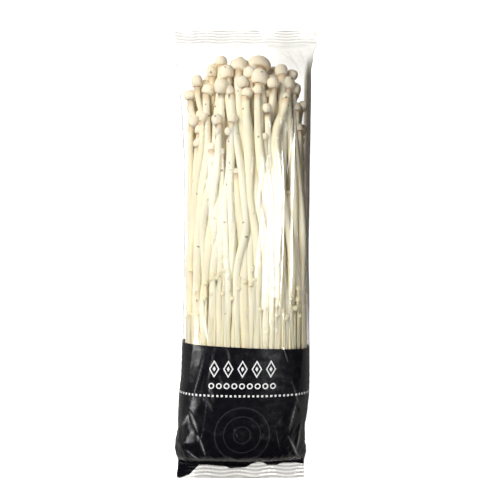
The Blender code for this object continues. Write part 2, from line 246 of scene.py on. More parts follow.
def envelope_point(share, angle, station):
    """The place (x, z) of a centre line: a share of the envelope, at an angle round its axis."""
    half_wide, half_high = envelope_halves(station)
    return share * half_wide * np.cos(angle), AXIS_HEIGHT + share * half_high * np.sin(angle)


def front_angle(share, across, station):
    """The angle on the front half of the envelope at which a stem stands this far across."""
    part = across / (share * envelope_halves(station)[0])
    return math.acos(np.clip(part, -SIDE_LIMIT, SIDE_LIMIT))


def ring_angles(count, offset):
    """Angles that space stems evenly along the rim of the envelope, the first one turned on by an offset."""
    fine = np.linspace(0.0, 2 * math.pi, 721)
    x, z = envelope_point(1.0, fine, MIDDLE_STATION)
    walked = np.concatenate([[0.0], np.cumsum(np.hypot(np.diff(x), np.diff(z)))])
    return np.interp((np.arange(count) + offset) / count * walked[-1], walked, fine)


def front_rows():
    """The front mushrooms as rows: foot share and angle, tip share and angle, start, top, radii, rise
    and hold."""
    rows = []
    for across, top, cap_radius, cap_height, stem_radius, shift in FRONT_MUSHROOMS:
        share = 1.0 - 0.14 * smooth_step((top - 150.0) / 26.0)
        foot_share = 1.0 if top < 170.0 else 0.86
        foot_angle = front_angle(foot_share, across + shift, MIDDLE_STATION)
        tip_angle = front_angle(share, across, top)
        ends = (foot_share, foot_angle, share, tip_angle, STEM_START, top)
        turn_length = LEAN_LENGTH if abs(shift) > LEANING else TURN_LENGTH
        rows.append((*ends, stem_radius, cap_radius, cap_height, FRONT_HOLD, turn_length))
    return rows


def ring_rows():
    """The mushrooms of every ring as rows. On the front half they reach up behind the front mushrooms."""
    rows = []
    for count, foot_share, tip_share, lowest, highest, start in RINGS:
        for angle in ring_angles(count, draw.uniform(0, 1)):
            height, thickness, swell, turn, stretch = draw.uniform(0, 1, 5)
            front = smooth_step((math.sin(angle) - 0.15) / 0.4) if foot_share > 0.8 else 0.0
            low = lowest + (BEHIND_LOWEST - lowest) * front
            top = low + (max(highest, BEHIND_HIGHEST * front) - low) * height
            stem_radius = STEM_RADIUS * (0.8 + 0.4 * thickness)
            cap_radius = CAP_RADIUS * (0.7 + 0.45 * swell) * (0.8 if top < 145.0 else 1.0)
            tip_angle = angle + 0.14 * (turn - 0.5)
            feet = (foot_share - 0.06 * front, angle, tip_share - 0.42 * front, tip_angle)
            rise = cap_radius * (1.6 + 0.4 * stretch)
            rows.append((*feet, start, top, stem_radius, cap_radius, rise, 1.0, TURN_LENGTH))
    return rows


def standing(rows):
    """First places (mushroom, station, xz) of the centre lines: the foot's place, turning to the tip's
    on top."""
    foot_share, foot_angle, tip_share, tip_angle, _, top, _, _, rise, _, turn_length = rows.T[:, :, None]
    neck = top - rise
    turned = smooth_step((layout_stations - (neck - turn_length)) / turn_length)
    at_foot = np.stack(envelope_point(foot_share, foot_angle, layout_stations), axis=-1)
    at_tip = np.stack(envelope_point(tip_share, tip_angle, np.minimum(layout_stations, top)), axis=-1)
    return at_foot * (1 - turned[:, :, None]) + at_tip * turned[:, :, None]


def pressed_apart(places, rows, rounds):
    """The centre lines after they have pushed each other apart.

    In each round, at each station, two rounds that overlap each move away by a share of the overlap. Then
    all are kept in the bag and out of the core, each line is evened along its length, and held tips go part
    of the way back.
    """
    start, top, stem_radius, cap_radius, rise, hold = rows.T[4:10, :, None]
    neck = top - rise
    radius = np.where(layout_stations > neck - 2.0, cap_radius, stem_radius)
    room = np.where(hold < 1.0, FRONT_ROOM * radius, radius)
    there = (layout_stations > start - LAYOUT_STEP) & (layout_stations < top + 1.0)
    both = there[:, None] & there[None]
    touching = TOUCHING_SHARE * (radius[:, None] + radius[None])
    first = places.copy()
    near_tip = smooth_step((layout_stations - neck + 26.0) / 24.0) * (hold < 1.0)
    hold = hold * (1.0 - near_tip)
    near_foot = smooth_step((45.0 - layout_stations) / 30.0)
    half_wide, half_high = envelope_halves(layout_stations)
    core = CORE_SHARE * smooth_step((CORE_TOP - layout_stations) / 20.0)
    held_station = np.minimum(layout_stations, neck + 0.3 * rise)
    clearance = FILM_CLEARANCE + FOOT_CLEARANCE * smooth_step((46.0 - layout_stations) / 16.0)
    rise_kept = np.where((hold[:, :1] == 1.0) & (first[:, :1, 1] > AXIS_HEIGHT + 3.0), 0.3, 1.0)
    for _ in range(rounds):
        apart = places[:, None] - places[None]
        distance = np.sqrt((apart**2).sum(axis=-1)) + 1e-6
        overlap = np.where(both, np.maximum(touching - distance, 0.0), 0.0)
        overlap[np.arange(len(rows)), np.arange(len(rows))] = 0.0
        push = (apart * (overlap / distance)[..., None]).sum(axis=1)
        size = np.sqrt((push**2).sum(axis=-1, keepdims=True)) + 1e-6
        push[..., 1] = np.minimum(push[..., 1], rise_kept * push[..., 1])
        places = places + PUSH_SHARE * push * np.minimum(1.0, LONGEST_PUSH / size) * hold[..., None]
        places[:, 1:-1] += EVENED_SHARE * (places[:, :-2] + places[:, 2:] - 2 * places[:, 1:-1])
        places += TIP_HELD * near_tip[:, :, None] * (first - places)
        places += FOOT_HELD * near_foot[None, :, None] * (first - places)
        x, z = places[..., 0], places[..., 1] - AXIS_HEIGHT
        inside = np.sqrt((x / half_wide) ** 2 + (z / half_high) ** 2) + 1e-6
        outwards = np.where(start < 50.0, np.maximum(1.0, core / inside), 1.0)
        x, z = kept_in_bag(x * outwards, z * outwards + AXIS_HEIGHT, held_station, room, clearance)
        places = np.stack([x, z], axis=-1)
    return places


bunch_rows = np.array(front_rows() + ring_rows())
bunch_paths = pressed_apart(standing(bunch_rows), bunch_rows, ROUNDS)


# The mushrooms. Each is one long pale stem, a little wavy and uneven, that ends in a small domed cap whose
# margin is rolled in over the gills. They are soft, moist and ivory. Painted shade turns them tan where they
# stand deep in the bunch and at the gills under their caps.
# Width of the cap's outline as a share of its radius, and rise as a share of its height, from the stem up
CAP_SHAPE = np.array([
    (0.46, 0.05),
    (0.64, 0.02),
    (0.80, 0.07),
    (0.92, 0.18),
    (0.985, 0.33),
    (1.00, 0.48),
    (0.965, 0.63),
    (0.88, 0.77),
    (0.73, 0.885),
    (0.52, 0.96),
    (0.27, 0.99),
])
GILL_RINGS = 2


def path_at(paths, station):
    """Points (x, z) on the centre lines at stations (mushroom, ring), on a Catmull-Rom curve through the
    layout."""
    place = np.clip((station - layout_stations[0]) / LAYOUT_STEP, 0.0, len(layout_stations) - 1.001)
    first = np.floor(place).astype(int)
    part = (place - first)[..., None]
    which = np.arange(len(paths))[:, None]
    last = len(layout_stations) - 1
    a, b, c, d = [paths[which, np.clip(first + k, 0, last)] for k in (-1, 0, 1, 2)]
    return b + 0.5 * part * (c - a + part * (2 * a - 5 * b + 4 * c - d + part * (3 * (b - c) + d - a)))


def unit(vectors):
    """Vectors scaled to length 1."""
    return vectors / np.linalg.norm(vectors, axis=-1, keepdims=True)


def mushroom_rings(rows, paths, sides, stem_rings, wave):
    """The rings (mushroom, ring, side, xyz) that a group of mushrooms is skinned on, and each one's two end
    points.

    A ring is centre + radius * (N cos a + B sin a), square to the centre line, a little oval. The stem's
    radius swells from the root, thins towards the cap, and wavers. The cap's rings stand on the stem's end,
    along its last direction tilted a little, at the widths and rises of CAP_SHAPE.
    """
    count = len(rows)
    start, top, stem_radius, cap_radius, rise = rows.T[4:9, :, None]
    tilt, tilt_angle, oval, oval_angle, beat, phase = draw.uniform(0, 1, (6, count, 1))
    neck = top - rise
    part = np.linspace(0.0, 1.0, stem_rings)
    station = start + (neck - start) * part
    x, z = np.moveaxis(path_at(paths, station), -1, 0)
    sway = wave * np.sin(math.pi * part) * stem_radius
    turn = 2 * math.pi * (station / (35.0 + 40.0 * beat) + phase)
    x = x + sway * np.sin(turn)
    z = z + 0.5 * sway * np.sin(1.3 * turn + 2.0)
    centre = np.stack([x, along(station), z], axis=-1)
    direction = unit(np.gradient(centre, axis=1))
    radius = stem_radius * (0.8 + 0.2 * smooth_step((station - 20.0) / 60.0))
    radius = radius * (1.0 - 0.16 * smooth_step((station - neck + 30.0) / 30.0))
    radius = radius * (1.0 + 0.05 * np.sin(turn * 1.9) + 0.12 * smooth_step((station - neck + 2.5) / 2.5))

    lean = 0.5 * tilt**1.5 * np.concatenate(
        [np.cos(2 * math.pi * tilt_angle), np.zeros_like(tilt), np.sin(2 * math.pi * tilt_angle)], axis=1
    )
    cap_direction = unit(direction[:, -1] + lean)
    cap_centre = centre[:, -1:] + cap_direction[:, None] * (CAP_SHAPE[:, 1] * rise)[..., None]
    neck_radius = radius[:, -1:]
    below_middle = CAP_SHAPE[:, 1] < 0.4
    cap_width = CAP_SHAPE[:, 0] * np.maximum(cap_radius, 1.12 * neck_radius)
    cap_width = np.maximum(cap_width, 1.02 * neck_radius * below_middle)
    centre = np.concatenate([centre, cap_centre], axis=1)
    direction = np.concatenate([direction, np.repeat(cap_direction[:, None], len(CAP_SHAPE), axis=1)], axis=1)
    radius = np.concatenate([radius, cap_width], axis=1)

    square = unit(np.array([1.0, 0.0, 0.0]) - direction[..., :1] * direction)
    beside = np.cross(direction, square)
    angle = 2 * math.pi * np.arange(sides) / sides
    uneven = 1.0 + 0.1 * oval[:, :, None] * np.cos(2 * angle - 2 * math.pi * oval_angle[:, :, None])
    spread = (radius[..., None] * uneven)[..., None]
    rings = centre[:, :, None] + spread * (
        square[:, :, None] * np.cos(angle)[:, None] + beside[:, :, None] * np.sin(angle)[:, None]
    )
    tip = centre[:, stem_rings - 1] + cap_direction * rise
    return rings, centre[:, 0], tip


def skin(rings, foot, tip):
    """Vertices, faces and UV corners of closed skins over rings (piece, ring, side, xyz) with end points.

    Quads join each ring to the next one, and triangles join the end rings to the end points. U runs round
    and V along.
    """
    count, ring_count, sides = rings.shape[:3]
    size = ring_count * sides + 2
    vertices = np.concatenate([rings.reshape(count, -1, 3), foot[:, None], tip[:, None]], axis=1)
    base = (np.arange(count) * size)[:, None, None]
    ring = np.arange(ring_count - 1)[None, :, None] * sides
    side = np.arange(sides)[None, None]
    after = (side + 1) % sides
    quads = np.stack([ring + side, ring + after, ring + sides + after, ring + sides + side], axis=-1)
    quads = (base[..., None] + quads).reshape(-1, 4)
    side, after = side[:, 0], after[:, 0]
    foot_index, last = size - 2, (ring_count - 1) * sides
    bottoms = np.stack([after, side, side * 0 + foot_index], axis=-1) + base
    tops = np.stack([last + side, last + after, side * 0 + foot_index + 1], axis=-1) + base
    triangles = np.concatenate([bottoms.reshape(-1, 3), tops.reshape(-1, 3)])

    along_v = np.linspace(0.02, 0.98, ring_count)
    u = np.stack([side, side + 1, side + 1, side], axis=-1) / sides
    u = np.broadcast_to(u[:, None], (count, ring_count - 1, sides, 4))
    v = np.stack([along_v[:-1], along_v[:-1], along_v[1:], along_v[1:]], axis=-1)
    v = np.broadcast_to(v[None, :, None], (count, ring_count - 1, sides, 4))
    quad_uv = np.stack([u, v], axis=-1).reshape(-1, 2)
    ends_u = np.broadcast_to(np.stack([side + 1, side, side + 0.5], axis=-1) / sides, (count, sides, 3))
    bottom_v = np.broadcast_to(np.array([0.02, 0.02, 0.0]), (count, sides, 3))
    top_u = np.broadcast_to(np.stack([side, side + 1, side + 0.5], axis=-1) / sides, (count, sides, 3))
    top_v = np.broadcast_to(np.array([0.98, 0.98, 1.0]), (count, sides, 3))
    end_uv = [np.stack(pair, axis=-1).reshape(-1, 2) for pair in ((ends_u, bottom_v), (top_u, top_v))]
    return vertices.reshape(-1, 3), quads, triangles, np.concatenate([quad_uv, *end_uv])


def mesh_piece(name, vertices, quads, triangles, corner_uv):
    """A smooth-shaded object made of quads and triangles, with a UV map. Vertices are in millimetres."""
    mesh = bpy.data.meshes.new(name)
    mesh.from_pydata((vertices * MM).tolist(), [], quads.tolist() + triangles.tolist())
    layer = mesh.uv_layers.new(name="surface")
    layer.data.foreach_set("uv", corner_uv.astype(np.float32).ravel())
    mesh.shade_smooth()
    mesh.update()
    piece = bpy.data.objects.new(name, mesh)
    bpy.context.scene.collection.objects.link(piece)
    return piece


def paint(piece, name, values):
    """Stores a number for each vertex, which the materials read by its name."""
    layer = piece.data.attributes.new(name, "FLOAT", "POINT")
    layer.data.foreach_set("value", np.asarray(values, dtype=np.float32).ravel())


def mushroom_piece(name, rows, paths, sides, stem_rings, wave, youth=0.0):
    """One piece that holds a group of mushrooms, with what tints them: cap, gills (painted shade under the
    cap), depth in the bunch (painted shade), and tone."""
    rings, foot, tip = mushroom_rings(rows, paths, sides, stem_rings, wave)
    count, ring_count = rings.shape[:2]
    piece = mesh_piece(name, *skin(rings, foot, tip))
    per_ring = {"cap": np.zeros(ring_count), "gills": np.zeros(ring_count)}
    per_ring["cap"][stem_rings + GILL_RINGS - 1 :] = 1.0
    per_ring["gills"][stem_rings - 1 : stem_rings + GILL_RINGS - 1] = 1.0
    for key, by_ring in per_ring.items():
        by_vertex = np.broadcast_to(by_ring[None, :, None], rings.shape[:3]).reshape(count, -1)
        ends = np.broadcast_to(np.array([0.0, by_ring[-1]]), (count, 2))
        paint(piece, key, np.concatenate([by_vertex, ends], axis=1))
    # Painted shade: how deep each vertex lies in the bunch, which the flesh turns tan.
    half_wide, half_high = envelope_halves(rings[..., 1] + BAG_LENGTH / 2)
    out = np.sqrt((rings[..., 0] / half_wide) ** 2 + ((rings[..., 2] - AXIS_HEIGHT) / half_high) ** 2)
    depth_shade = smooth_step((1.02 - out) / 0.55).reshape(count, -1)
    paint(piece, "depth_shade", np.concatenate([depth_shade, depth_shade[:, :1], depth_shade[:, -1:]], axis=1))
    tone = np.broadcast_to(draw.uniform(0, 1, (count, 1)), (count, ring_count * sides + 2))
    paint(piece, "tone", tone)
    paint(piece, "youth", np.full(tone.shape, youth))
    return piece


def node_maker(tree):
    """A function that adds a node to a tree, sets its sockets and properties, and links what is itself
    an output."""

    def add(kind, sockets=None, **settings):
        node = tree.nodes.new(kind)
        for key, value in settings.items():
            setattr(node, key, value)
        for key, value in (sockets or {}).items():
            if isinstance(value, bpy.types.NodeSocket):
                tree.links.new(value, node.inputs[key])
            else:
                node.inputs[key].default_value = value
        return node

    return add


def empty_material(name):
    """A material with nothing but its output, and the function that adds its nodes."""
    made = bpy.data.materials.new(name)
    made.use_nodes = True
    made.node_tree.nodes.clear()
    add = node_maker(made.node_tree)
    return made, add, add("ShaderNodeOutputMaterial")


def group_of(name, inputs, outputs):
    """A node group with named number inputs and outputs, its node adder, and its two end nodes."""
    tree = bpy.data.node_groups.new(name, "ShaderNodeTree")
    for key, value in inputs.items():
        socket = tree.interface.new_socket(key, in_out="INPUT", socket_type="NodeSocketFloat")
        socket.default_value = value
    for key in outputs:
        tree.interface.new_socket(key, in_out="OUTPUT", socket_type="NodeSocketFloat")
    add = node_maker(tree)
    return tree, add, add("NodeGroupInput"), add("NodeGroupOutput")


def mixed(add, factor, first, second):
    """The colour that goes from the first to the second as the factor goes from 0 to 1."""
    return add("ShaderNodeMix", {0: factor, 6: first, 7: second}, data_type="RGBA").outputs[2]


def stored(add, name):
    """The number that a piece stores for each vertex under a name."""
    return add("ShaderNodeAttribute", attribute_name=name).outputs["Fac"]


def noise_at(add, place, scale, detail):
    """Smooth noise with a scale per metre, and how many finer layers it has."""
    return add("ShaderNodeTexNoise", {"Vector": place, "Scale": scale, "Detail": detail}).outputs["Fac"]


def ranged(add, value, low, high, first, last, curve="LINEAR"):
    """What goes from the first to the last as a value goes from low to high, and stays there beyond."""
    sockets = dict(enumerate((value, low, high, first, last)))
    return add("ShaderNodeMapRange", sockets, interpolation_type=curve).outputs[0]


def maths(add, operation, *values, clamp=False):
    """The result of a Math node."""
    return add("ShaderNodeMath", dict(enumerate(values)), operation=operation, use_clamp=clamp).outputs[0]


def product(add, *factors):
    """The product of numbers."""
    whole = factors[0]
    for factor in factors[1:]:
        whole = maths(add, "MULTIPLY", whole, factor)
    return whole


def fibre_group():
    """Fine lengthwise fibre: noise on the UV map, drawn out along V. Puts out its tone and its height."""
    tree, add, given, out = group_of("lengthwise_fibre", {"Across": 14.0, "Along": 5.0}, ("Tone", "Height"))
    place = add("ShaderNodeTexCoord").outputs["UV"]
    parts = add("ShaderNodeSeparateXYZ", {0: place})
    around = product(add, parts.outputs[0], 2 * math.pi)
    tone = stored(add, "tone")
    grain = add(
        "ShaderNodeCombineXYZ",
        {
            0: product(add, maths(add, "COSINE", around), given.outputs["Across"]),
            1: product(add, maths(add, "SINE", around), given.outputs["Across"]),
            2: product(add, parts.outputs[1], given.outputs["Along"]),
        },
    )
    moved = product(add, tone, 40.0)
    sockets = {"Vector": grain.outputs[0], "W": moved, "Scale": 0.6, "Detail": 3.0}
    fine = add("ShaderNodeTexNoise", sockets, noise_dimensions="4D")
    tree.links.new(fine.outputs["Fac"], out.inputs["Tone"])
    tree.links.new(fine.outputs["Fac"], out.inputs["Height"])
    return tree


IVORY = (0.93, 0.85, 0.62, 1.0)
PALE_IVORY = (0.95, 0.90, 0.73, 1.0)
DEPTH_SHADE_TAN = (0.72, 0.50, 0.27, 1.0)
CAP_CREAM = (0.94, 0.87, 0.70, 1.0)
CAP_BLUSH = (0.91, 0.77, 0.57, 1.0)
GILL_SHADE_TAN = (0.66, 0.45, 0.24, 1.0)
FOOT_STRAW = (0.88, 0.76, 0.47, 1.0)
YOUNG_STRAW = (0.90, 0.80, 0.53, 1.0)
SPECK_BROWN = (0.20, 0.11, 0.05, 1.0)
fibre = fibre_group()


def mushroom_flesh():
    """Ivory flesh: each mushroom's own tone, straw-coloured towards the foot, painted tan shade deep in the
    bunch and at the gills under the caps, blushed caps, fine fibre, and a few brown specks."""
    made, add, output = empty_material("mushroom_flesh")
    tone, depth_shade, cap, gills, youth = [stored(add, key) for key in ("tone", "depth_shade", "cap", "gills", "youth")]
    grain = add("ShaderNodeGroup", node_tree=fibre)
    place = add("ShaderNodeTexCoord").outputs["Object"]
    height = add("ShaderNodeSeparateXYZ", {0: place}).outputs[1]
    near_foot = ranged(add, height, 0.0, -0.06, 0.0, 1.0, curve="SMOOTHSTEP")
    colour = mixed(add, tone, IVORY, PALE_IVORY)
    colour = mixed(add, product(add, near_foot, 0.55), colour, FOOT_STRAW)
    streak = ranged(add, grain.outputs["Tone"], 0.42, 0.75, 0.0, 0.55)
    colour = mixed(add, streak, colour, FOOT_STRAW)
    blotch = noise_at(add, place, 260.0, 2.0)
    cap_colour = mixed(add, blotch, CAP_CREAM, CAP_BLUSH)
    colour = mixed(add, product(add, cap, 0.8), colour, cap_colour)
    colour = mixed(add, product(add, youth, 0.75), colour, YOUNG_STRAW)
    # Painted shade: tan deep in the bunch, less of it on the caps.
    shaded = maths(add, "SUBTRACT", 0.85, product(add, cap, 0.65))
    colour = mixed(add, product(add, depth_shade, shaded), colour, DEPTH_SHADE_TAN)
    # Painted shade under the caps: the gills turn tan, less on young mushrooms.
    grown = maths(add, "SUBTRACT", 0.8, product(add, youth, 0.6))
    colour = mixed(add, product(add, gills, grown), colour, GILL_SHADE_TAN)
    dust = noise_at(add, place, 520.0, 0.0)
    speck = ranged(add, dust, 0.81, 0.84, 0.0, 0.8)
    colour = mixed(add, speck, colour, SPECK_BROWN)
    bump = add("ShaderNodeBump", {"Height": grain.outputs["Height"], "Strength": 0.35, "Distance": 0.0004})
    gloss = ranged(add, grain.outputs["Tone"], 0.3, 0.7, 0.36, 0.55)
    shader = add(
        "ShaderNodeBsdfPrincipled",
        {
            "Base Color": colour,
            "Roughness": gloss,
            "Normal": bump.outputs[0],
            "Subsurface Weight": 0.25,
            "Subsurface Radius": (1.0, 0.7, 0.35),
            "Subsurface Scale": 0.0015,
        },
    )
    made.node_tree.links.new(shader.outputs[0], output.inputs[0])
    return made


flesh = mushroom_flesh()


def dress_flesh(piece):
    """Gives a mushroom piece its material and body, and hides the imported mushroom bunch."""
    piece.data.materials.append(flesh)
    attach(piece, "root")
    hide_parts("mushroom_bunch")


rim_start = len(FRONT_MUSHROOMS)
inner_start = rim_start + RINGS[0][0] + RINGS[1][0]
# First and last row, sides and rings of a stem, and how far it waves in stem radii
GROUPS = {
    "front_mushrooms": (0, rim_start, 20, 46, 0.25),
    "rim_mushrooms": (rim_start, inner_start, 14, 40, 0.35),
    "inner_mushrooms": (inner_start, len(bunch_rows), 14, 18, 0.3),
}
for name, (first, last, sides, stem_rings, wave) in GROUPS.items():
    rows, paths = bunch_rows[first:last], bunch_paths[first:last]
    dress_flesh(mushroom_piece(name, rows, paths, sides, stem_rings, wave))


# The young mushrooms. Many stay short: thin straw-coloured stems with pinheads, which stand outermost on
# the lower half of the bunch, pressed against the film.
YOUNG_COUNT = 150
YOUNG_RADIUS = 0.75
YOUNG_CLEARANCE = 0.85
YOUNG_LOWEST = 68.0
YOUNG_SPREAD = 24.0
YOUNG_SHARE = 1.2


def young_rows():
    """Young mushrooms all round the rim, as rows. Most of them are low."""
    rows = []
    for angle in ring_angles(YOUNG_COUNT, 0.0):
        height, thickness, turn, swell = draw.uniform(0, 1, 4)
        top = YOUNG_LOWEST + YOUNG_SPREAD * height
        stem_radius = YOUNG_RADIUS * (0.75 + 0.5 * thickness)
        place = angle + 0.05 * (turn - 0.5)
        cap_radius = 0.8 + 0.5 * swell
        ends = (YOUNG_SHARE, place, YOUNG_SHARE, place + 0.06 * (turn - 0.5), STEM_START, top)
        rows.append((*ends, stem_radius, cap_radius, 1.7 * cap_radius, 1.0, TURN_LENGTH))
    return np.array(rows)


young = young_rows()
young_paths = standing(young)
young_room = YOUNG_CLEARANCE + FOOT_CLEARANCE * smooth_step((46.0 - layout_stations) / 16.0)
young_paths = np.stack(
    kept_in_bag(young_paths[..., 0], young_paths[..., 1], layout_stations, young[:, 6:7], young_room), axis=-1
)
dress_flesh(mushroom_piece("young_mushrooms", young, young_paths, 10, 20, 0.5, youth=1.0))


# The root block and the core. The stems grow out of a felted block of root threads, cut flat at its
# foot. Higher up the stems in the middle are packed so tight that only the ridges of the outermost would
# ever show.
ROOT_CUT = 13.4
# Station, and share of the envelope
CORE_OUTLINE = np.array([
    (ROOT_CUT, 0.90),
    (15.0, 0.95),
    (22.0, 0.97),
    (32.0, 0.95),
    (40.0, 0.80),
    (60.0, 0.74),
    (100.0, 0.70),
    (112.0, 0.60),
    (CORE_TOP, 0.30),
])
CORE_SIDES = 180
CORE_RINGS = 120
CORE_RIDGES = 36
FELT_BEIGE = (0.80, 0.68, 0.46, 1.0)
FELT_SHADE = (0.55, 0.40, 0.22, 1.0)


def core_rings():
    """The rings of the root block and core: the envelope's oval times the outline's share, with
    lengthwise ridges."""
    station = np.linspace(ROOT_CUT, CORE_TOP, CORE_RINGS)[:, None]
    angle = 2 * math.pi * np.arange(CORE_SIDES)[None] / CORE_SIDES
    share = np.interp(station, CORE_OUTLINE[:, 0], CORE_OUTLINE[:, 1])
    ridge = 0.02 * np.abs(np.sin(CORE_RIDGES * angle / 2 + 0.3 * np.sin(station / 9.0)))
    lumps = 0.012 * np.sin(7 * angle + station / 3.0) * np.sin(5 * angle - station / 5.0)
    x, z = envelope_point(share + ridge + lumps, angle, station)
    return np.stack([x, along(station) + 0 * x, z], axis=-1)[None]


def root_felt():
    """Felted root threads: beige, blotched and rough."""
    made, add, output = empty_material("root_felt")
    place = add("ShaderNodeTexCoord").outputs["Object"]
    cloud = noise_at(add, place, 180.0, 5.0)
    thread = noise_at(add, place, 900.0, 3.0)
    colour = mixed(add, cloud, FELT_BEIGE, FELT_SHADE)
    bump = add("ShaderNodeBump", {"Height": thread, "Strength": 0.5, "Distance": 0.0005})
    rough = ranged(add, thread, 0.3, 0.7, 0.65, 0.9)
    finish = {"Base Color": colour, "Roughness": rough, "Normal": bump.outputs[0]}
    shader = add("ShaderNodeBsdfPrincipled", finish)
    made.node_tree.links.new(shader.outputs[0], output.inputs[0])
    return made


core = core_rings()
core_foot = np.array([[0.0, along(ROOT_CUT), AXIS_HEIGHT]])
core_tip = np.array([[0.0, along(CORE_TOP + 1.0), AXIS_HEIGHT]])
root_block = mesh_piece("root_block", *skin(core, core_foot, core_tip))
root_block.data.materials.append(root_felt())
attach(root_block, "root")
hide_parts("mushroom_bunch")


# The film bag. One tube of thin clear film, printed black over its lower third, heat-sealed flat and
# crimped at both ends. It is drawn tight over the stems, so it stands in long sharp creases on its sides,
# and it is crumpled where it gathers to the bottom seal.
FILM_INSET = 0.15
AROUND = 300
FRONT_CROWDING = 0.45
PRINT_TOP = 57.5
PRINT_SLOPE = 0.045
FIN_ROWS, SHOULDER_ROWS, PRINT_ROWS, CLEAR_ROWS = 22, 30, 76, 140
SHOULDER_TOP = 14.0
CRIMP_PITCH = 1.3
CRIMP_HEIGHT = 0.2
AIR_HOLE_RADIUS = 2.5
AIR_HOLE_STATION = 171.0
UV_SPAN = 200.0
# Lower edge of the print: across, station
PRINT_FOOT = np.array([
    (-29.6, 0.9),
    (-28.3, 0.2),
    (-24.2, 1.1),
    (-20.1, 4.6),
    (-16.3, 4.6),
    (-9.0, 4.1),
    (-6.9, 3.3),
    (-0.4, 3.7),
    (2.6, 5.1),
    (6.0, 6.2),
    (9.0, 4.6),
    (13.3, 4.6),
    (15.8, 5.5),
    (21.4, 5.5),
    (24.4, 5.0),
])
# How far the sides bulge out or fall in near the foot: station, left, right
SIDE_SWELL = np.array([
    (0.0, 0.3, 0.0),
    (4.0, 0.2, 0.0),
    (12.0, 0.9, -0.3),
    (18.0, 1.1, -1.3),
    (22.0, 0.2, -1.5),
    (28.0, 0.3, -0.6),
    (36.0, 0.5, 0.1),
    (44.0, 0.0, 0.2),
    (58.0, 0.2, 0.1),
    (120.0, 0.0, 0.1),
])
LOWER_FIN_RISE = 5.0
TABLE_GAP = 0.03
CREASE_FULL = 0.7
CREASE_SHARPNESS = 2.2
DEEPEST_DIP = 0.25
LONG_RIDGE = 0.16
SHORT_RIDGE = 0.5
CRUMPLE = 0.35
SWELL = 0.35
# Creases on the front: across and station of each end, height, half width
CREASES = [
    (20.5, 171.0, 18.9, 110.0, 0.75, 0.34),
    (18.9, 113.0, 18.2, 57.0, 0.75, 0.32),
    (12.3, 172.0, 12.0, 156.0, 0.7, 0.36),
    (12.6, 158.0, 14.6, 146.0, 0.5, 0.4),
    (15.0, 182.0, 24.0, 166.0, 0.5, 0.6),
    (8.0, 183.0, 20.0, 174.0, 0.5, 0.6),
    (21.0, 183.0, 25.0, 172.0, 0.5, 0.5),
    (-14.0, 183.0, -22.0, 168.0, 0.5, 0.6),
    (-3.0, 183.0, -8.0, 176.0, 0.4, 0.5),
    (13.6, 150.0, 15.4, 112.0, 0.55, 0.9),
    (15.4, 116.0, 12.6, 58.0, 0.6, 0.9),
    (8.4, 158.0, 9.6, 146.0, 0.6, 0.5),
    (10.2, 148.0, 12.4, 118.0, 0.45, 0.8),
    (21.5, 120.0, 20.5, 84.0, 0.4, 0.7),
    (-11.0, 158.0, -12.5, 140.0, 0.35, 0.7),
    (-17.5, 80.0, -14.5, 58.0, 0.5, 0.6),
    (14.8, 72.0, 16.5, 57.0, 0.55, 0.5),
    (-15.8, 57.5, -21.0, 37.0, 0.6, 0.6),
    (-12.4, 57.0, -14.6, 44.0, 0.45, 0.7),
    (-14.6, 44.0, -12.6, 34.0, 0.5, 0.8),
    (-8.0, 57.5, -6.6, 50.0, 0.4, 0.8),
    (-10.8, 46.0, -9.2, 40.0, 0.45, 0.7),
    (-17.0, 38.0, -13.0, 31.0, 0.55, 1.0),
    (-23.0, 32.5, -19.0, 22.0, 0.8, 0.7),
    (-19.0, 22.0, -16.0, 12.5, 0.8, 0.6),
    (-27.0, 24.0, -23.0, 30.0, 0.8, 0.9),
    (-24.0, 15.0, -17.0, 9.5, 0.8, 0.7),
    (-28.0, 12.0, -22.0, 5.0, 0.9, 0.9),
    (15.0, 57.5, 17.5, 50.0, 0.6, 0.5),
    (18.5, 44.0, 22.5, 30.0, 0.6, 0.7),
    (12.0, 25.0, 14.0, 15.0, 0.5, 0.5),
    (21.0, 37.0, 17.0, 22.0, 0.7, 0.7),
    (17.0, 22.0, 22.0, 10.0, 0.8, 0.8),
    (23.0, 26.0, 20.0, 12.0, 0.7, 0.7),
    (-9.0, 14.0, 2.0, 8.5, 0.7, 0.8),
    (2.0, 8.5, 15.0, 12.0, 0.7, 0.8),
]


def lattice_noise(around, lengthwise, period, seed):
    """Smooth noise from 0 to 1: random numbers on a lattice, eased between, which repeats round the bag."""
    table = np.random.RandomState(seed).uniform(0, 1, (period, 512))
    left, low = np.floor(around).astype(int), np.floor(lengthwise).astype(int)
    across, up = smooth_step(around - left), smooth_step(lengthwise - low)
    corners = [table[(left + i) % period, (low + j) % 512] for i, j in ((0, 0), (1, 0), (0, 1), (1, 1))]
    lower = corners[0] + (corners[1] - corners[0]) * across
    upper = corners[2] + (corners[3] - corners[2]) * across
    return lower + (upper - lower) * up


def ridged(noise):
    """Sharp crests: 1 where the noise crosses a half, falling off straight to both sides."""
    return 1.0 - np.abs(2.0 * noise - 1.0)


def crease_height(x, station):
    """Height of the listed creases at places on the front: each falls off as exp(-distance / half width)."""
    height = np.zeros_like(x)
    for x0, s0, x1, s1, tall, half in CREASES:
        along_x, along_s = x1 - x0, s1 - s0
        length = along_x**2 + along_s**2
        part = ((x - x0) * along_x + (station - s0) * along_s) / length
        held = np.clip(part, 0.0, 1.0)
        bowed = 0.8 * np.sin(math.pi * held) * (half - 0.5)
        distance = np.hypot(x - x0 - held * along_x - bowed, station - s0 - held * along_s)
        faded = np.sqrt(np.clip(np.sin(math.pi * np.clip(part, 0.02, 0.98)), 0.0, 1.0))
        height = np.maximum(height, tall * faded * np.exp(-distance / half))
    return height


